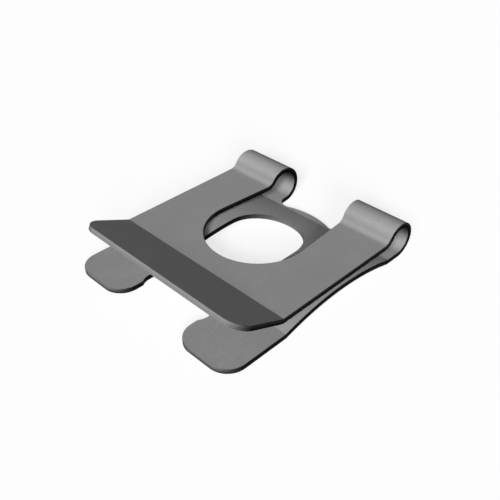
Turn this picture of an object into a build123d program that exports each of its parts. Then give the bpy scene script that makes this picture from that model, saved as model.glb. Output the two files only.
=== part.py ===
from build123d import *
from math import atan2, cos, degrees, radians, sin, sqrt, tan
import os

# A retaining clip for a grooved clevis pin: one strip of spring steel, cut to shape,
# rolled over at the rear and folded back under itself.
# Millimetres. X runs across the clip, +Y towards the rolled loops and +Z up.
# The origin is on the pin's axis, in the upper plate's top face.

# The strip
sheet = 0.5                 # thickness of the spring steel
clip_width = 20.0           # across the upper plate, the loops and the feet
bend_radius = 0.3           # inside each sharp fold

# The pin that the clip holds
pin_diameter = 10.0
groove_diameter = 7.6
pin_clearance = 0.05        # all round the pin, in the upper plate
groove_clearance = 0.1      # each side of the groove, in the lower leaf

# Upper plate and its finger lip
plate_land = 2.25           # pin's hole to the fold of the lip
lip_length = 5.4            # fold to tip, along the top face
lip_angle = 24.2            # rise of the lip, in degrees
lip_corner = 1.8            # rounding of the lip's corners

# Lower leaf: a sole under the loops, an arch and two feet
leaf_gap = 0.39             # upper plate's underside to the crest of the arch
arch_rise = 1.0             # crest of the arch above the feet
arch_reach = 6.9            # pin axis to the fold at each end of the arch
sole_length = 1.64          # rear fold of the arch to the loops' axis
foot_reach = 13.54          # pin axis to the feet's front edge
foot_corner = 1.95          # rounding of the feet's corners

# Rolled loops at the rear
loop_radius = 1.84          # outer face
neck_radius = 0.9           # hollow between the upper plate and a loop, on the top face

# Window through the upper plate and between the loops
window_taper = 4.2          # each side draws in towards the rear, in degrees
bridge_lap = 0.8            # rear edge of the bridge behind the arch's rear fold
bridge_radius = 7.6         # that edge is an arc
bridge_fillet = 1.0         # where the bridge meets the loops

# Slot that takes the pin's groove
seat_setback = 0.65         # centre of the slot's round end behind the pin axis
nose_height = 0.3           # each nose narrows the slot by this much
nose_length = 2.71          # feet's front edge to the corner of a nose
nose_hollow = 1.4           # radius of the hollow behind that corner

# Heights and radii that follow from these
half_width = clip_width / 2
hole_radius = pin_diameter / 2 + pin_clearance
slot_half = groove_diameter / 2 + groove_clearance
nose_half = slot_half - nose_height
stand_height = 2 * sheet + leaf_gap + arch_rise
parting_z = -sheet - leaf_gap / 2
loop_z = loop_radius - stand_height
loop_bore = loop_radius - sheet
loop_mid = loop_radius - sheet / 2

# Distances from the pin axis that follow from these
lip_reach = hole_radius + plate_land
loop_reach = arch_reach + sole_length
bridge_reach = arch_reach + bridge_lap
nose_reach = foot_reach - nose_length
hollow_run = sqrt(nose_hollow**2 - (nose_hollow - nose_height) ** 2)

# The neck's hollow touches the plate and the loop: where it starts and how far it turns
neck_drop = neck_radius - loop_z
neck_run = sqrt((loop_radius + neck_radius) ** 2 - neck_drop**2)
neck_reach = loop_reach - neck_run
neck_angle = degrees(atan2(neck_run, neck_drop))

lip_along = Vector(0, -cos(radians(lip_angle)), sin(radians(lip_angle)))
lip_upright = Vector(0, sin(radians(lip_angle)), cos(radians(lip_angle)))
lip_tip = Vector(0, -lip_reach, 0) + lip_along * lip_length


def window_half(y):
    """Half the window's width at y: its side is a tangent of the pin's hole."""
    slope = radians(window_taper)
    return hole_radius / cos(slope) - y * tan(slope)


def window_half_rolled(turn):
    """Half the window's width in the loops, at an angle from their top towards the rear.

    The cut was straight in the flat strip, so it draws in with the length rolled up.
    """
    rolled = loop_mid * radians(turn + neck_angle)
    start = window_half(loop_reach - loop_mid * sin(radians(neck_angle)))
    return start - rolled * tan(radians(window_taper))


def loop_plane(turn):
    """Plane through the loops' axis, square to the sheet, at an angle from their top."""
    angle = radians(turn)
    centre = (0, loop_reach, loop_z)
    return Plane(centre, x_dir=(1, 0, 0), z_dir=(0, -cos(angle), sin(angle)))


# Window tool: the pin's hole, opened towards the rear as far as the start of the loops
with BuildPart() as window:
    with BuildSketch(Plane.XY.offset(parting_z)):
        with BuildLine():
            touch = Vector(cos(radians(window_taper)), sin(radians(window_taper))) * hole_radius
            front = ThreePointArc((-touch.X, touch.Y), (0, -hole_radius), touch)
            rear_half = window_half(loop_reach)
            Polyline(front @ 1, (rear_half, loop_reach), (-rear_half, loop_reach), front @ 0)
        make_face()
    extrude(amount=2 * loop_radius)
    split(bisect_by=loop_plane(-neck_angle), keep=Keep.TOP)

# Loop tool: the same cut carried on round the loops, down to their lowest line
loop_sections = 9
with BuildPart() as loop_gap:
    low = loop_bore / 2
    high = loop_radius + sheet
    for section in range(loop_sections):
        turn = -neck_angle + (180 + neck_angle) * section / (loop_sections - 1)
        low_half = high_half = window_half_rolled(turn)
        if section == 0:
            low_half = window_half(loop_reach - low * sin(radians(neck_angle)))
            high_half = window_half(loop_reach - high * sin(radians(neck_angle)))
        with BuildSketch(loop_plane(turn)):
            with BuildLine():
                corners = [(-low_half, low), (low_half, low), (high_half, high), (-high_half, high)]
                Polyline(*corners, close=True)
            make_face()
    loft()

# Sole tool: the same cut from the loops' lowest line to the rear edge of the bridge
with BuildPart() as sole_gap:
    with BuildSketch(Plane.XY.offset(-stand_height - sheet)) as sole_cut:
        with BuildLine():
            rear_half = window_half_rolled(180)
            axis_half = rear_half - loop_reach * tan(radians(window_taper))
            corners = [(-axis_half, 0), (-rear_half, loop_reach), (rear_half, loop_reach), (axis_half, 0)]
            Polyline(*corners, close=True)
        make_face()
        with Locations((0, bridge_reach - bridge_radius)):
            Circle(bridge_radius, mode=Mode.SUBTRACT)
        fillet(sole_cut.vertices().group_by(Axis.Y)[0], radius=bridge_fillet)
    extrude(amount=3 * sheet)

# Slot tool: open at the front, past the noses to the round seat
with BuildPart() as slot:
    with BuildSketch(Plane.XY.offset(-stand_height - sheet)):
        with BuildLine():
            side = Line((slot_half, seat_setback), (slot_half, hollow_run - nose_reach))
            hollow = TangentArc(side @ 1, (nose_half, -nose_reach), tangent=side % 1)
            nose = Line(hollow @ 1, (nose_half, -foot_reach - sheet))
            mirror([side, hollow, nose], about=Plane.YZ)
            seat_rear = (0, seat_setback + slot_half)
            ThreePointArc((slot_half, seat_setback), seat_rear, (-slot_half, seat_setback))
            Line((-nose_half, -foot_reach - sheet), (nose_half, -foot_reach - sheet))
        make_face()
    extrude(amount=stand_height + sheet + parting_z)

# The folded strip: its side profile, drawn along the face that ends up outside
with BuildPart() as clip:
    with BuildSketch(Plane.YZ):
        with BuildLine() as outer_face:
            lip = Line((lip_tip.Y, lip_tip.Z), (-lip_reach, 0))
            plate = Line(lip @ 1, (neck_reach, 0))
            neck = JernArc(plate @ 1, plate % 1, neck_radius, neck_angle)
            loop = JernArc(neck @ 1, neck % 1, loop_radius, -180 - neck_angle)
            sole = Line(loop @ 1, (arch_reach, -stand_height))
            crest = (0, arch_rise - stand_height)
            arch = ThreePointArc(sole @ 1, crest, (-arch_reach, -stand_height))
            Line(arch @ 1, (-foot_reach, -stand_height))
            fillet(outer_face.vertices().sort_by_distance(lip @ 1)[0], radius=bend_radius)
            for fold in (arch @ 0, arch @ 1):
                corner = outer_face.vertices().sort_by_distance(fold)[0]
                fillet(corner, radius=bend_radius + sheet)
            offset(amount=sheet, side=Side.LEFT)
        make_face()
    extrude(amount=half_width, both=True)

    add(window.part, mode=Mode.SUBTRACT)
    add(loop_gap.part, mode=Mode.SUBTRACT)
    add(sole_gap.part, mode=Mode.SUBTRACT)
    add(slot.part, mode=Mode.SUBTRACT)

    fillet(clip.edges().filter_by(Axis.Z).group_by(Axis.Y)[0], radius=foot_corner)
    lip_end = clip.faces().filter_by(Axis((0, 0, 0), lip_along))
    fillet(lip_end.edges().filter_by(Axis((0, 0, 0), lip_upright)), radius=lip_corner)

clip.part.label = "clip"
os.makedirs("parts", exist_ok=True)
export_step(clip.part, "parts/clip.step")
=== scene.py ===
import math

import bpy
import numpy as np
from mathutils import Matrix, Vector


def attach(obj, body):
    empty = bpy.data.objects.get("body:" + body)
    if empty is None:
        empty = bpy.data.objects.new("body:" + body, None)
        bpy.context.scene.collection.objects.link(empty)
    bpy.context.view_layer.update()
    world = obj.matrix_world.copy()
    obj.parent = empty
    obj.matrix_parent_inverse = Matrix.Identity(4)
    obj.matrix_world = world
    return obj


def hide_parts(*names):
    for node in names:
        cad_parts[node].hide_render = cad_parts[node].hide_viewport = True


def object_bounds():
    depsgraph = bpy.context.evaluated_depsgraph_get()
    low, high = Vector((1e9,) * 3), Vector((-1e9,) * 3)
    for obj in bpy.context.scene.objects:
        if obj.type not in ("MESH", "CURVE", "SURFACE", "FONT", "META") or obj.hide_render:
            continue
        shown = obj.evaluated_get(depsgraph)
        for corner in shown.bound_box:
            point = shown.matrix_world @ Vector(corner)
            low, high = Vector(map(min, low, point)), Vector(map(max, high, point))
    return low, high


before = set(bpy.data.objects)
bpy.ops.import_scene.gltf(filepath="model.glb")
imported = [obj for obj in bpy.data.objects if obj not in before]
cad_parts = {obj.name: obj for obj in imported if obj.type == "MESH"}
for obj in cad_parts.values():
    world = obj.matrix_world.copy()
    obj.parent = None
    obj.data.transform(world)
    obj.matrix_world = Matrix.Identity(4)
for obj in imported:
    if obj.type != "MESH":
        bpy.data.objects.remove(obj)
cadLow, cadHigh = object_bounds()

scene = bpy.context.scene
scene.view_settings.view_transform = "Standard"
mm = 0.001

# The camera stands in front of the clip, to its right and above it
view = {
    "place": (36.562, -37.82, 36.628),   # millimetres
    "down": 36.488,                      # degrees below the level
    "turn": 44.755,                      # degrees, to the left
    "roll": 0.066,
    "lens": 49.61,
    "sensor": 36,
    "nearest": 1,                        # millimetres
    "farthest": 100000,
}

cameraData = bpy.data.cameras.new("camera")
cameraData.lens = view["lens"]
cameraData.sensor_width = view["sensor"]
cameraData.clip_start = view["nearest"] * mm
cameraData.clip_end = view["farthest"] * mm
camera = bpy.data.objects.new("camera", cameraData)
camera.location = [value * mm for value in view["place"]]
tilt = (90 - view["down"], view["roll"], view["turn"])
camera.rotation_euler = [math.radians(angle) for angle in tilt]
scene.collection.objects.link(camera)
scene.camera = camera
print("camera set")

# Everything about the clip's shape, in millimetres and degrees
clip = {
    "sheet": 0.5,             # thickness of the strip
    "width": 20.0,
    "deburr": 0.045,          # rounding of every cut edge
    "lipLength": 5.4,
    "lipAngle": 24.2,
    "lipCorner": 1.8,
    "plateLand": 2.25,        # from the pin's hole to the lip's bend
    "holeRadius": 5.05,
    "windowTaper": 4.2,       # each side draws in towards the rear
    "bendInside": 0.3,        # inside radius of the sharp bends
    "neckRadius": 0.9,        # hollow between the plate and a loop
    "loopRadius": 1.84,
    "standHeight": 2.39,      # from the plate's top face down to the floor
    "soleLength": 1.64,
    "bridgeLap": 0.8,
    "bridgeRadius": 7.6,
    "bridgeFillet": 1.0,
    "archReach": 6.9,
    "archRise": 1.0,
    "slotHalf": 3.9,
    "seatSetback": 0.65,      # the slot's round end sits this far behind the hole
    "noseHalf": 3.6,
    "noseLength": 2.71,
    "noseHollow": 1.4,        # radius of the hollow behind each nose
    "footReach": 13.54,
    "footCorner": 1.95,
    # what the finish reads from the shape
    "cutStart": 0.3,          # a smaller power brings the cut's tone nearer to the face
    "sideShadePower": 1.3,         # painted edge shade grows with this power of a wall's turn to the side
    "slotShade": 0.31,        # painted shade on walls that face along the strip, as at the slot's round end
    "footShade": (1.0, 0.2),  # and on the feet's ends, from the underside to the top face
    "rightSlotLight": 0.9,            # share of the painted edge shade lifted off one side of the round end, a painted light
    "rightSlotLightStart": 1.4,       # lightened in full from this far to the right of the middle
    "rightSlotLightEnd": 2.5,         # and fading out over this far, from the arch's crest on
    "loopShade": (60, 145),     # angles past the loops' top where the painted shade inside them ends
    "loopShadeFade": 0.55,      # how far it takes to darken at its other end
    "neckShadeLine": 0.6,         # reach of the painted shade line where the neck turns into the loop
    # faces across each side of the strip, and across half the bridge
    "mainColumns": 14,
    "bridgeColumns": 8,
    # longest step from row to row on each part of the strip
    "steps": {
        "lip": 0.5,
        "lipBend": 0.03,
        "land": 0.4,
        "leg": 0.5,
        "neck": 0.07,
        "loop": 0.09,
        "sole": 0.3,
        "fold": 0.025,
        "arch": 0.35,
        "foot": 0.5,
    },
    # rows on each arc of the cuts
    "arcRows": {
        "quarter": 12,        # the lip's and the feet's corners, and half the slot's round end
        "hole": 34,
        "fillet": 14,
        "bridge": 10,
        "bridgeEnd": 6,
        "hollow": 14,
    },
    "bulgeStart": 0.3,        # share of the bridge's arc that its first row spans
    "rounding": (0, 22, 45, 68, 90),   # turns of a cut edge, from the face to the wall
    "weld": 1e5,              # places that agree to one part in this of a millimetre are one
}


def stripRuns(c):
    # the strip's side profile from the lip's tip to the feet, as runs one after the other:
    # the length of each along the middle of the sheet, and how sharply it bends, which is one
    # over the bend's radius there and nought on a straight run
    half = c["sheet"] / 2
    lipTurn = math.radians(c["lipAngle"])
    lipReach = c["holeRadius"] + c["plateLand"]
    lipTangent = c["bendInside"] * math.tan(lipTurn / 2)
    loopReach = c["archReach"] + c["soleLength"]
    neckDrop = c["neckRadius"] + c["standHeight"] - c["loopRadius"]
    neckRun = math.sqrt((c["loopRadius"] + c["neckRadius"]) ** 2 - neckDrop**2)
    neckTurn = math.atan2(neckRun, neckDrop)
    archRadius = (c["archReach"] ** 2 + c["archRise"] ** 2) / (2 * c["archRise"])
    foldOutside = c["bendInside"] + c["sheet"]
    foldApart = archRadius + foldOutside
    foldY = math.sqrt(foldApart**2 - (foldApart - c["archRise"]) ** 2)
    foldTurn = math.asin(foldY / foldApart)
    bendRadius = c["bendInside"] + half
    neckMiddle = c["neckRadius"] + half
    loopMiddle = c["loopRadius"] - half
    archMiddle = archRadius + half
    # lip, its bend, plate, neck, loop, sole, the arch between its two folds, and foot
    runs = np.array([
        (c["lipLength"] - lipTangent, 0),
        (bendRadius * lipTurn, 1 / bendRadius),
        (lipReach - lipTangent + loopReach - neckRun, 0),
        (neckMiddle * neckTurn, 1 / neckMiddle),
        (loopMiddle * (math.pi + neckTurn), -1 / loopMiddle),
        (loopReach - foldY, 0),
        (bendRadius * foldTurn, -1 / bendRadius),
        (archMiddle * 2 * foldTurn, 1 / archMiddle),
        (bendRadius * foldTurn, -1 / bendRadius),
        (c["footReach"] - foldY, 0),
    ])
    length, bend = runs.T
    begin = np.concatenate([[0], np.cumsum(length)])
    heading = np.concatenate([[0], np.cumsum(length * bend)]) - lipTurn
    # a run's chord is its length times sinc of half its turn, at its middle heading
    chord = length * np.sinc(length * bend / (2 * np.pi))
    middle = (heading[:-1] + heading[1:]) / 2
    tip = np.array([
        -lipReach - c["lipLength"] * math.cos(lipTurn) - half * math.sin(lipTurn),
        c["lipLength"] * math.sin(lipTurn) - half * math.cos(lipTurn),
    ])
    steps = np.stack([chord * np.cos(middle), chord * np.sin(middle)], axis=1)
    corners = tip + np.concatenate([np.zeros((1, 2)), np.cumsum(steps, axis=0)])
    marks = {
        "lipEnd": begin[1],
        "plateStart": begin[2],
        "pin": begin[2] + lipReach - lipTangent,
        "plateEnd": begin[3],
        "neckEnd": begin[4],
        "loopEnd": begin[5],
        "archStart": begin[7],
        "crest": (begin[7] + begin[8]) / 2,
        "archEnd": begin[8],
        "footStart": begin[9],
        "loopReach": loopReach,
        "archMiddle": archMiddle,
        "foldY": foldY,
    }
    return {"begin": begin, "heading": heading, "bend": bend, "corners": corners, "marks": marks}


def placeOnStrip(path, sheet, along, depth):
    # where a point of the flat strip ends up once it is folded: from the start of its run it
    # goes the arc's chord at the chord's heading, and then square to the sheet by its depth,
    # which is measured in from the face that ends up outside
    run = np.searchsorted(path["begin"][1:-1], along, side="right")
    past = along - path["begin"][run]
    turned = path["bend"][run] * past
    chord = past * np.sinc(turned / (2 * np.pi))
    facing = path["heading"][run] + turned
    chordHeading = path["heading"][run] + turned / 2
    rise = sheet / 2 - depth
    y = path["corners"][run, 0] + chord * np.cos(chordHeading) - rise * np.sin(facing)
    z = path["corners"][run, 1] + chord * np.sin(chordHeading) + rise * np.cos(facing)
    return y, z, facing, run


def evenly(start, end, step):
    # rows from start up to end, with end left out
    return np.linspace(start, end, max(1, math.ceil(abs(end - start) / step)), endpoint=False)


def rowsOf(parts):
    # parts of an outline, each a place along the strip with its inner and outer edge, as one list
    return [np.concatenate(column) for column in zip(*[np.broadcast_arrays(*part) for part in parts])]


def clipPatches(c, marks):
    # Half of the flat strip as three grids. Each row crosses the strip square to it, from an
    # inner edge to an outer edge, and both edges are functions of the place along the strip:
    # the hole, the fillets, the corners, the slot's end and the noses' hollows are arcs that are
    # stepped by angle, and the rest is straight. All edges are drawn in by the deburring radius,
    # which the rounded rim then gives back.
    r = c["deburr"]
    steps = c["steps"]
    arcRows = c["arcRows"]
    side = c["width"] / 2 - r
    quarter = np.linspace(0, math.pi / 2, arcRows["quarter"])
    slope = math.radians(c["windowTaper"])

    def rowAt(places, mark):
        # the first row at a mark, or so near before it that it counts as the same place
        return int(np.searchsorted(places, mark - 1 / c["weld"]))

    # lip and plate, then a leg with its loop, down to the bridge
    corner = c["lipCorner"]
    hole = c["holeRadius"] + r
    holeTurn = np.linspace(0, math.pi / 2 + slope, arcRows["hole"])

    def windowHalf(along, radius):
        # the window's side is a tangent of the hole and draws in evenly along the strip
        return radius / math.cos(slope) - (along - marks["pin"]) * math.tan(slope)

    # the fillet between the bridge's arc and a leg touches both, so its centre is both radii
    # away from the arc's centre and one fillet radius in from the leg: a quadratic for its y
    fillet = c["bridgeFillet"]
    bridgeY = c["archReach"] + c["bridgeLap"] - c["bridgeRadius"]
    lean = math.tan(slope)
    soleHalf = windowHalf(marks["loopEnd"], c["holeRadius"])
    base = soleHalf - lean * marks["loopReach"] - fillet / math.cos(slope)
    squared = 1 + lean**2
    linear = base * lean - bridgeY
    rest = base**2 + bridgeY**2 - (c["bridgeRadius"] + fillet) ** 2
    filletY = (math.sqrt(linear**2 - squared * rest) - linear) / squared
    filletX = base + lean * filletY
    filletTurn = np.linspace(-slope, -math.pi / 2, arcRows["fillet"])
    legY = filletY + (fillet + r) * np.sin(filletTurn)
    soleAt = marks["loopEnd"] + marks["loopReach"]
    legRows = np.concatenate([
        evenly(hole * math.sin(slope) + marks["pin"], marks["plateEnd"], steps["leg"]),
        evenly(marks["plateEnd"], marks["neckEnd"], steps["neck"]),
        evenly(marks["neckEnd"], marks["loopEnd"], steps["loop"]),
        evenly(marks["loopEnd"], soleAt - legY[0], steps["sole"]),
    ])
    landEnd = marks["pin"] - hole
    strip = rowsOf([
        (r + (corner - r) * (1 - np.cos(quarter)),
         0,
         side + r - corner + (corner - r) * np.sin(quarter)),
        (evenly(corner, marks["lipEnd"], steps["lip"])[1:], 0, side),
        (evenly(marks["lipEnd"], marks["plateStart"], steps["lipBend"]), 0, side),
        (evenly(marks["plateStart"], landEnd, steps["land"]), 0, side),
        (marks["pin"] - hole * np.cos(holeTurn), hole * np.sin(holeTurn), side),
        (legRows[1:], windowHalf(legRows[1:], hole), side),
        (soleAt - legY, filletX + (fillet + r) * np.cos(filletTurn), side),
    ])
    holeRow = rowAt(strip[0], landEnd)
    share = np.linspace(0, 1, c["mainColumns"] + 1)
    stripX = strip[1][:, None] + (strip[2] - strip[1])[:, None] * share
    stripAlong = np.broadcast_to(strip[0][:, None], stripX.shape)

    # the bridge's rear bulge: its first row lies on the bridge's arc and the last is straight
    bridge = c["bridgeRadius"] - r
    touchTurn = math.atan2(filletX, filletY - bridgeY)
    arcTurn = np.linspace(c["bulgeStart"] * touchTurn, touchTurn, arcRows["bridge"])
    lowStart = math.atan2(bridgeY - filletY, -filletX)
    lowTurn = np.linspace(lowStart, -math.pi / 2, arcRows["bridgeEnd"])[1:]
    rimX = np.concatenate([bridge * np.sin(arcTurn), filletX + (fillet + r) * np.cos(lowTurn)])
    rimY = np.concatenate([bridgeY + bridge * np.cos(arcTurn), filletY + (fillet + r) * np.sin(lowTurn)])
    bulgeX = rimX[:, None] * np.linspace(0, 1, c["bridgeColumns"] + 1)
    bulge = np.sqrt(bridge**2 - bulgeX**2) - np.sqrt(bridge**2 - rimX**2)[:, None]
    fade = np.linspace(1, 0, len(rimX))[:, None]
    bulgeAlong = soleAt - (rimY[:, None] + fade * bulge)

    # lower leaf: across the bridge, round the slot's end and down both feet
    lowAt = strip[0][-1]
    lowHalf = strip[1][-1]

    def leafAlong(y):
        # on the arch the place along the strip is an angle at the arch's centre
        return marks["crest"] - marks["archMiddle"] * np.arcsin(y / marks["archMiddle"])

    def footAlong(y):
        return marks["footStart"] - marks["foldY"] - y

    slot = c["slotHalf"] + r
    seatY = c["seatSetback"] + slot * np.cos(quarter)
    # the hollow behind a nose leaves the slot's wall as its tangent and meets the nose's flat
    nose = c["noseHalf"] + r
    hollow = c["noseHollow"] + r
    hollowX = c["slotHalf"] - c["noseHollow"]
    rise = c["noseHollow"] - c["slotHalf"] + c["noseHalf"]
    hollowY = c["noseLength"] - c["footReach"] + math.sqrt(c["noseHollow"] ** 2 - rise**2)
    hollowTurn = np.linspace(0, math.acos((nose - hollowX) / hollow), arcRows["hollow"])
    cornerY = hollowY - hollow * math.sin(hollowTurn[-1])
    toe = c["footCorner"] - r
    toeY = c["footCorner"] - c["footReach"]
    leaf = rowsOf([
        (evenly(lowAt, marks["archStart"], steps["fold"]), 0, side),
        (evenly(marks["archStart"], leafAlong(seatY[0]), steps["arch"]), 0, side),
        (leafAlong(seatY), slot * np.sin(quarter), side),
        (evenly(leafAlong(seatY[-1]), marks["archEnd"], steps["arch"])[1:], slot, side),
        (evenly(marks["archEnd"], marks["footStart"], steps["fold"]), slot, side),
        (evenly(marks["footStart"], footAlong(hollowY), steps["foot"]), slot, side),
        (footAlong(hollowY - hollow * np.sin(hollowTurn)), hollowX + hollow * np.cos(hollowTurn), side),
        (evenly(footAlong(cornerY), footAlong(toeY), steps["foot"])[1:], nose, side),
        (footAlong(toeY - toe * np.sin(quarter)),
         c["noseHalf"] + c["footCorner"] - toe * np.cos(quarter),
         side + r - c["footCorner"] + toe * np.cos(quarter)),
    ])
    seatRow = rowAt(leaf[0], leafAlong(seatY[0]))
    # the leaf's first row meets the bulge and the leg point by point, and the others keep its shares
    lowX = np.concatenate([bulgeX[-1], lowHalf + (side - lowHalf) * share[1:]])
    leafX = leaf[1][:, None] + (leaf[2] - leaf[1])[:, None] * (lowX / side)
    leafAt = np.broadcast_to(leaf[0][:, None], leafX.shape)

    main = np.stack([stripX, stripAlong], axis=-1)
    back = np.stack([bulgeX, bulgeAlong], axis=-1)
    lower = np.stack([leafX, leafAt], axis=-1)
    outline = np.concatenate([
        main[0], main[1:, -1], lower[1:, -1], lower[-1, -2::-1], lower[-2:seatRow - 1:-1, 0],
    ])
    window = np.concatenate([back[0], back[1:, -1], main[-2:holeRow - 1:-1, 0]])
    return [main, back, lower], [outline, window]


def outwardOf(rim):
    # square to the rim, on the side away from the metal; at the clip's middle it points
    # straight along the strip
    step = np.diff(rim, axis=0)
    step = step / np.linalg.norm(step, axis=1, keepdims=True)
    tangent = np.concatenate([step[:1], step[:-1] + step[1:], step[-1:]])
    out = np.stack([tangent[:, 1], -tangent[:, 0]], axis=1)
    out[[0, -1], 0] = 0
    return out / np.linalg.norm(out, axis=1, keepdims=True)


def smoothly(share):
    # nought to one as share goes from nought to one, level at both ends
    share = np.clip(share, 0, 1)
    return share**2 * (3 - 2 * share)


def gridFaces(rows, columns, first):
    # one face between each two rows and columns of points, which are numbered from first
    index = first + np.arange(rows * columns).reshape(rows, columns)
    around = [index[:-1, :-1], index[:-1, 1:], index[1:, 1:], index[1:, :-1]]
    return np.stack(around, axis=-1).reshape(-1, 4)


def buildClip(c):
    # the flat strip's grids, once at each face's depth, with a rounded profile carried round
    # every cut edge between them, are mirrored and then folded along the side profile
    path = stripRuns(c)
    marks = path["marks"]
    grids, rims = clipPatches(c, marks)
    sheet = c["sheet"]
    r = c["deburr"]
    flat, normal, cut, faces = [], [], [], []
    count = 0

    def keep(points, directions, cutShare, quads):
        nonlocal count
        flat.append(points.reshape(-1, 3))
        normal.append(directions.reshape(-1, 3))
        cut.append(cutShare.reshape(-1, 2))
        faces.append(quads)
        count += len(flat[-1])

    # both faces of the sheet
    for grid in grids:
        rows, columns = grid.shape[:2]
        for depth, turn in ((0.0, -1.0), (sheet, 1.0)):
            points = np.concatenate([grid, np.full((rows, columns, 1), depth)], axis=-1)
            directions = np.broadcast_to([0.0, 0.0, turn], points.shape)
            quads = gridFaces(rows, columns, count)
            keep(points, directions, np.zeros((rows, columns, 2)), quads if turn < 0 else quads[:, ::-1])

    # cut edges: the rim carries a profile that rounds over from one face, goes straight down the
    # wall and rounds over to the other face
    rounding = np.array(c["rounding"])
    turns = np.radians(np.concatenate([rounding, 180 - rounding[::-1]]))
    reach = r * np.sin(turns)
    depths = np.concatenate([
        r * (1 - np.cos(turns[:len(rounding)])),
        sheet - r * (1 + np.cos(turns[len(rounding):])),
    ])
    for rim in rims:
        out = outwardOf(rim)
        places = rim[:, None, :] + reach[:, None] * out[:, None, :]
        size = places.shape[:2]
        points = np.concatenate([places, np.broadcast_to(depths[:, None], size + (1,))], axis=-1)
        directions = np.concatenate([
            np.sin(turns)[:, None] * out[:, None, :],
            np.broadcast_to(-np.cos(turns)[:, None], size + (1,)),
        ], axis=-1)
        # the cut's own tone starts with the rounding, so a rounded edge is as dark as its wall
        wall = np.broadcast_to(np.abs(np.sin(turns)) ** c["cutStart"], size)
        # painted edge shade is full on walls that face sideways, and on others it depends on where they
        # are: the lip's end has none, and on the feet's ends it is darkest at the underside
        across = np.abs(out[:, :1]) ** c["sideShadePower"]
        along = rim[:, 1:]
        feet = np.interp(depths, (r, sheet - r), c["footShade"])
        ends = np.where(along > marks["archEnd"], feet, c["slotShade"])
        ends = np.where(along < c["lipCorner"], 0.0, ends)
        edgeShade = wall * (across + (1 - across) * ends)
        quads = gridFaces(len(rim), len(turns), count)
        keep(points, directions, np.stack([wall, edgeShade], axis=-1), quads)

    # the other half is its mirror image, and what meets in the flat strip becomes one
    flat, normal, cut, faces = [np.concatenate(part) for part in (flat, normal, cut, faces)]
    mirror = np.array([-1.0, 1.0, 1.0])
    faces = np.concatenate([faces, faces[:, ::-1] + len(flat)])
    flat = np.concatenate([flat, flat * mirror])
    normal = np.concatenate([normal, normal * mirror])
    cut = np.concatenate([cut, cut])
    spots = np.round(flat * c["weld"]).astype(np.int64)
    first, same = np.unique(spots, axis=0, return_index=True, return_inverse=True)[1:]
    flat, normal, cut = flat[first], normal[first], cut[first]
    faces = same.reshape(-1)[faces]
    x, along, depth = flat.T

    # painted light: the painted edge shade is lifted off the slot's round end, on the right-hand side
    # only
    inSlot = (along > marks["archStart"]) & (x < c["slotHalf"] + sheet)
    upSlot = smoothly(1 + (marks["crest"] - along) / c["rightSlotLightEnd"])
    cut[:, 1] *= 1 - c["rightSlotLight"] * inSlot * smoothly(x / c["rightSlotLightStart"]) * upSlot

    y, z, facing, run = placeOnStrip(path, sheet, along, depth)
    points = np.stack([x, y, z], axis=1) * mm
    # wear is one on the outside of the sharpest bends and less where a bend is wider
    bend = path["bend"][run]
    outside = np.where(bend < 0, 1 - depth / sheet, depth / sheet)
    worn = outside * np.abs(bend) * (c["bendInside"] + sheet / 2)
    # painted shade: the loops' inside is darkened in full as far as the first angle past their top, and
    # not at all from the second one on
    full, gone = np.radians(c["loopShade"])
    past = along - marks["neckEnd"]
    underCrown = smoothly(past / c["loopShadeFade"]) * smoothly((gone + facing) / (gone - full))
    paintedLoopShade = (1 - outside) * underCrown
    # painted shade: a line darkened where the neck turns into the loop
    neckShadeLine = smoothly(1 - np.abs(past) / c["neckShadeLine"])
    across, lengthways, inward = normal.T
    shading = np.stack([
        across,
        lengthways * np.cos(facing) + inward * np.sin(facing),
        lengthways * np.sin(facing) - inward * np.cos(facing),
    ], axis=1)

    mesh = bpy.data.meshes.new("springClip")
    mesh.from_pydata(points.tolist(), [], faces.tolist())
    mesh.polygons.foreach_set("use_smooth", np.ones(len(mesh.polygons), dtype=bool))
    mesh.attributes.new("flatStrip", "FLOAT_VECTOR", "POINT").data.foreach_set("vector", flat.ravel())
    # three of these carry painted shade: on the cut walls, inside the loops and along the neck's line
    for name, values in (
        ("cutEdge", cut[:, 0]),
        ("paintedEdgeShade", cut[:, 1]),
        ("wornBend", worn),
        ("paintedLoopShade", paintedLoopShade),
        ("neckShadeLine", neckShadeLine),
    ):
        mesh.attributes.new(name, "FLOAT", "POINT").data.foreach_set("value", values.copy())
    mesh.update()
    mesh.normals_split_custom_set_from_vertices(shading.tolist())
    piece = bpy.data.objects.new("springClip", mesh)
    scene.collection.objects.link(piece)
    return piece


springClip = buildClip(clip)
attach(springClip, "root")
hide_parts("clip")
print("clip built,", len(springClip.data.polygons), "faces")
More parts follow.
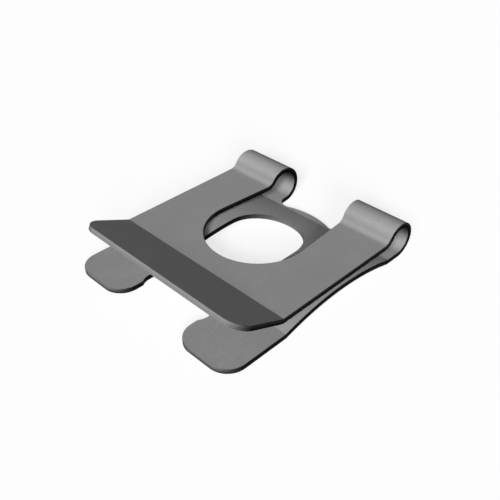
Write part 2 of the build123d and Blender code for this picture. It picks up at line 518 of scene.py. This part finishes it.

# The strip's finish, on its flat coordinates in millimetres: a matt grey coat of fine crystals, faint
# rolling lines that follow the strip round its bends, and cut edges darker than the faces, with painted
# shade on the walls, inside the loops and along the neck's line
finish = {
    "faceColor": (0.229, 0.230, 0.232, 1),
    "metallic": 0.03,
    "specular": 0.01,
    "roughness": 0.6,
    # each pattern's grains per millimetre across the strip, along it and through it, and its
    # levels of detail
    "patterns": {
        "crystals": ((9.0, 9.0, 9.0), 3.0),
        "rolling": ((12.0, 0.22, 0.5), 2.0),
        "clouds": ((0.3, 0.3, 0.3), 2.0),     # slow changes of the coat
        "ragged": ((2.5, 2.5, 0.0), 3.0),     # limit of the smooth band on a cut wall
        "tears": ((9.0, 9.0, 0.9), 3.0),      # lines torn down the rest of that wall
    },
    "spread": (0.3, 0.7),       # nearly all of a pattern lies between these
    # sparse fine scratches in two directions: the turn in degrees, then grains as above
    "scratches": ((24.0, (8.0, 0.45, 1.0)), (-51.0, (10.0, 0.6, 1.0))),
    "scratchDetail": 1.0,
    "scratchLimit": (0.7, 0.76),
    # how far the patterns lighten and darken the grey
    "crystalTone": 0.08,
    "rollTone": 0.035,
    "cloudTone": 0.03,
    # and how far the rest lightens it, or darkens it where the number is below nought
    "scratchTone": 0.12,
    "rubTone": 0.06,            # the coat is a little lighter outside each bend
    "loopShadeTone": -0.92,       # painted shade, much darker inside the loops, under their crown
    "neckShadeTone": -0.22,         # painted shade along a line between the neck and the loop
    "burnishTone": 0.2,
    "cutShade": 0.585,          # a bare cut edge, as a share of the face's grey
    "shadedCut": 0.008,        # and one under full painted edge shade
    "bandShadeLoss": 0.03,          # share of that painted shade which the smooth band takes off
    "rubLimit": (0.35, 0.6),    # low crystals are rubbed least and high ones in full
    "rubLeast": 0.2,
    "burnish": (0.05, 0.09, 0.17, 0.24),   # depths at which the smooth band comes and goes
    "raggedReach": 0.03,        # how far its limit strays up and down
    # what each adds to the roughness, or takes from it where the number is below nought
    "crystalRough": 0.07,       # this one does both
    "loopShadeRough": 0.06,
    "rubRough": -0.08,
    "scratchRough": -0.1,
    "burnishRough": -0.18,
    "tearRough": 0.2,
    # heights of the bumps, in millimetres
    "crystalDepth": 0.004,
    "rollDepth": 0.002,
    "tearDepth": 0.012,
}


def addNode(tree, kind, **settings):
    node = tree.nodes.new(kind)
    for name, value in settings.items():
        setattr(node, name, value)
    return node


def setInput(tree, socket, value):
    # a number goes into the socket and anything else is linked to it
    if isinstance(value, (int, float, tuple)):
        socket.default_value = value
    else:
        tree.links.new(value, socket)


def calculate(tree, operation, first, second):
    node = addNode(tree, "ShaderNodeMath", operation=operation)
    setInput(tree, node.inputs[0], first)
    setInput(tree, node.inputs[1], second)
    return node.outputs[0]


def between(tree, value, start, end, low, high, smooth=False):
    # start..end becomes low..high, and stays there beyond it
    node = addNode(tree, "ShaderNodeMapRange", interpolation_type="SMOOTHSTEP" if smooth else "LINEAR")
    for socket, number in zip(node.inputs, (value, start, end, low, high)):
        setInput(tree, socket, number)
    return node.outputs[0]


def mixColors(tree, share, first, second, **settings):
    node = addNode(tree, "ShaderNodeMix", data_type="RGBA", **settings)
    # of this node's sockets, inputs 6 and 7 and output 2 are the ones for colours
    for number, value in ((0, share), (6, first), (7, second)):
        setInput(tree, node.inputs[number], value)
    return node.outputs[2]


def readAttribute(tree, name, output="Fac"):
    return addNode(tree, "ShaderNodeAttribute", attribute_name=name).outputs[output]


def mapPlace(tree, place, name, value):
    node = addNode(tree, "ShaderNodeMapping")
    setInput(tree, node.inputs["Vector"], place)
    setInput(tree, node.inputs[name], value)
    return node.outputs[0]


def noiseOn(tree, place, stretch, detail):
    # noise with a number of grains per millimetre of its own along each axis
    noise = addNode(tree, "ShaderNodeTexNoise")
    setInput(tree, noise.inputs["Vector"], mapPlace(tree, place, "Scale", stretch))
    setInput(tree, noise.inputs["Scale"], 1.0)
    setInput(tree, noise.inputs["Detail"], detail)
    return noise.outputs[0]


def bumpBy(tree, height, depth, under=None):
    node = addNode(tree, "ShaderNodeBump")
    setInput(tree, node.inputs["Strength"], 1.0)
    setInput(tree, node.inputs["Distance"], depth * mm)
    setInput(tree, node.inputs["Height"], height)
    if under:
        tree.links.new(under, node.inputs["Normal"])
    return node.outputs[0]


def springSteel(f):
    material = bpy.data.materials.new("springSteel")
    material.use_nodes = True
    tree = material.node_tree
    shader = tree.nodes["Principled BSDF"]
    place = readAttribute(tree, "flatStrip", "Vector")
    cut = readAttribute(tree, "cutEdge")
    # painted edge shade on the cut walls
    edgeShade = readAttribute(tree, "paintedEdgeShade")
    worn = readAttribute(tree, "wornBend")
    # painted shade inside the loops
    paintedLoopShade = readAttribute(tree, "paintedLoopShade")
    # painted shade along the neck's line
    neckShaded = readAttribute(tree, "neckShadeLine")
    depth = addNode(tree, "ShaderNodeSeparateXYZ")
    setInput(tree, depth.inputs[0], place)

    patterns = {name: noiseOn(tree, place, *grain) for name, grain in f["patterns"].items()}
    crystals = patterns["crystals"]
    scratches = []
    for degrees, stretch in f["scratches"]:
        turned = mapPlace(tree, place, "Rotation", (0.0, 0.0, math.radians(degrees)))
        streaks = noiseOn(tree, turned, stretch, f["scratchDetail"])
        scratches.append(between(tree, streaks, *f["scratchLimit"], 0.0, 1.0))
    scratched = calculate(tree, "MAXIMUM", *scratches)
    rubbed = between(tree, crystals, *f["rubLimit"], f["rubLeast"], 1.0)
    rubbed = calculate(tree, "MULTIPLY", worn, rubbed)

    # a sheared wall has a smooth band near one face, with a ragged limit, and is torn below it
    ragged = between(tree, patterns["ragged"], *f["spread"], -f["raggedReach"], f["raggedReach"])
    level = calculate(tree, "ADD", depth.outputs["Z"], ragged)
    rise, full, fall, gone = f["burnish"]
    band = calculate(
        tree, "MULTIPLY",
        between(tree, level, rise, full, 0.0, 1.0, smooth=True),
        between(tree, level, fall, gone, 1.0, 0.0, smooth=True),
    )
    burnished = calculate(tree, "MULTIPLY", band, cut)
    torn = calculate(tree, "MULTIPLY", patterns["tears"], calculate(tree, "SUBTRACT", cut, burnished))

    # all changes of the grey are shares that multiply each other
    tone = 1.0
    for name, change in (
        ("crystals", f["crystalTone"]),
        ("rolling", f["rollTone"]),
        ("clouds", f["cloudTone"]),
    ):
        spread = between(tree, patterns[name], *f["spread"], 1 - change, 1 + change)
        tone = calculate(tree, "MULTIPLY", tone, spread)
    for value, change in (
        (scratched, f["scratchTone"]),
        (rubbed, f["rubTone"]),
        (paintedLoopShade, f["loopShadeTone"]),
        (neckShaded, f["neckShadeTone"]),
        (burnished, f["burnishTone"]),
    ):
        tone = calculate(tree, "MULTIPLY", tone, between(tree, value, 0.0, 1.0, 1.0, 1 + change))
    # the painted edge shade lies on cut edges only, so its loss of light simply adds to that of the bare
    # cut
    cutLoss = calculate(tree, "MULTIPLY", cut, 1 - f["cutShade"])
    edgeShadeLoss = calculate(tree, "MULTIPLY", edgeShade, f["cutShade"] - f["shadedCut"])
    edgeShadeLeft = between(tree, burnished, 0.0, 1.0, 1.0, 1 - f["bandShadeLoss"])
    edgeShadeLoss = calculate(tree, "MULTIPLY", edgeShadeLoss, edgeShadeLeft)
    shade = calculate(tree, "SUBTRACT", calculate(tree, "SUBTRACT", 1.0, cutLoss), edgeShadeLoss)
    tone = calculate(tree, "MULTIPLY", tone, shade)
    grey = mixColors(tree, 1.0, f["faceColor"], tone, blend_type="MULTIPLY")
    setInput(tree, shader.inputs["Base Color"], grey)

    smoothest, roughest = f["roughness"] - f["crystalRough"], f["roughness"] + f["crystalRough"]
    rough = between(tree, crystals, *f["spread"], smoothest, roughest)
    for value, change in (
        (paintedLoopShade, f["loopShadeRough"]),
        (rubbed, f["rubRough"]),
        (scratched, f["scratchRough"]),
        (burnished, f["burnishRough"]),
        (torn, f["tearRough"]),
    ):
        rough = calculate(tree, "ADD", rough, calculate(tree, "MULTIPLY", value, change))
    setInput(tree, shader.inputs["Roughness"], rough)
    setInput(tree, shader.inputs["Metallic"], f["metallic"])
    setInput(tree, shader.inputs["Specular IOR Level"], f["specular"])

    bump = bumpBy(tree, crystals, f["crystalDepth"])
    bump = bumpBy(tree, patterns["rolling"], f["rollDepth"], bump)
    bump = bumpBy(tree, torn, f["tearDepth"], bump)
    setInput(tree, shader.inputs["Normal"], bump)
    return material


springClip.data.materials.append(springSteel(finish))
print("finish made")

# Floor, lamps and world
studio = {
    "floorSize": 20.0,          # metres
    "floorDrop": 0.01,          # millimetres under the feet, so the two don't lie in one plane
    "floorColor": (0.88, 0.88, 0.88, 1),
    "seenColor": (0.97, 0.97, 0.97, 1),   # what the camera and reflections see of it
    "seenWhite": 0.78,          # and the share of plain white in that
    "worldTone": 0.045,
    "seenWorld": 0.988,         # the world as seen, so that the floor has no horizon
    # name, degrees to the right of the front, degrees up, strength, size in degrees
    "lamps": [
        ("softKey", 27, 30.5, 3.5, 16),
        ("lowFill", 49, 19.5, 3.15, 18),
    ],
}


def seenDirectly(tree):
    # one for the camera's own rays and for what reflections and glass show, otherwise nought
    rays = addNode(tree, "ShaderNodeLightPath")
    seen = calculate(tree, "MAXIMUM", rays.outputs["Is Camera Ray"], rays.outputs["Is Glossy Ray"])
    return calculate(tree, "MAXIMUM", seen, rays.outputs["Is Transmission Ray"])


def buildFloor(s):
    # one flat square, level and centred under the clip
    half = s["floorSize"] / 2
    level = cadLow.z - s["floorDrop"] * mm
    corners = [(-half, -half, level), (half, -half, level), (half, half, level), (-half, half, level)]
    mesh = bpy.data.meshes.new("floor")
    mesh.from_pydata(corners, [], [(0, 1, 2, 3)])
    floor = bpy.data.objects.new("floor", mesh)
    scene.collection.objects.link(floor)
    material = bpy.data.materials.new("paleFloor")
    material.use_nodes = True
    tree = material.node_tree
    tree.nodes.remove(tree.nodes["Principled BSDF"])
    seen = seenDirectly(tree)
    matt = addNode(tree, "ShaderNodeBsdfDiffuse")
    setInput(tree, matt.inputs["Color"], mixColors(tree, seen, s["floorColor"], s["seenColor"]))
    white = addNode(tree, "ShaderNodeEmission")
    mix = addNode(tree, "ShaderNodeMixShader")
    setInput(tree, mix.inputs[0], calculate(tree, "MULTIPLY", seen, s["seenWhite"]))
    setInput(tree, mix.inputs[1], matt.outputs[0])
    setInput(tree, mix.inputs[2], white.outputs[0])
    setInput(tree, tree.nodes["Material Output"].inputs["Surface"], mix.outputs[0])
    mesh.materials.append(material)


def buildLights(s):
    for name, right, up, strength, size in s["lamps"]:
        lamp = bpy.data.lights.new(name, "SUN")
        lamp.energy = strength
        lamp.angle = math.radians(size)
        piece = bpy.data.objects.new(name, lamp)
        piece.rotation_euler = (math.radians(90 - up), 0, math.radians(right))
        scene.collection.objects.link(piece)
    world = bpy.data.worlds.new("studio")
    scene.world = world
    world.use_nodes = True
    tree = world.node_tree
    tone = between(tree, seenDirectly(tree), 0.0, 1.0, s["worldTone"], s["seenWorld"])
    setInput(tree, tree.nodes["Background"].inputs["Color"], tone)


buildFloor(studio)
buildLights(studio)
print("studio set")
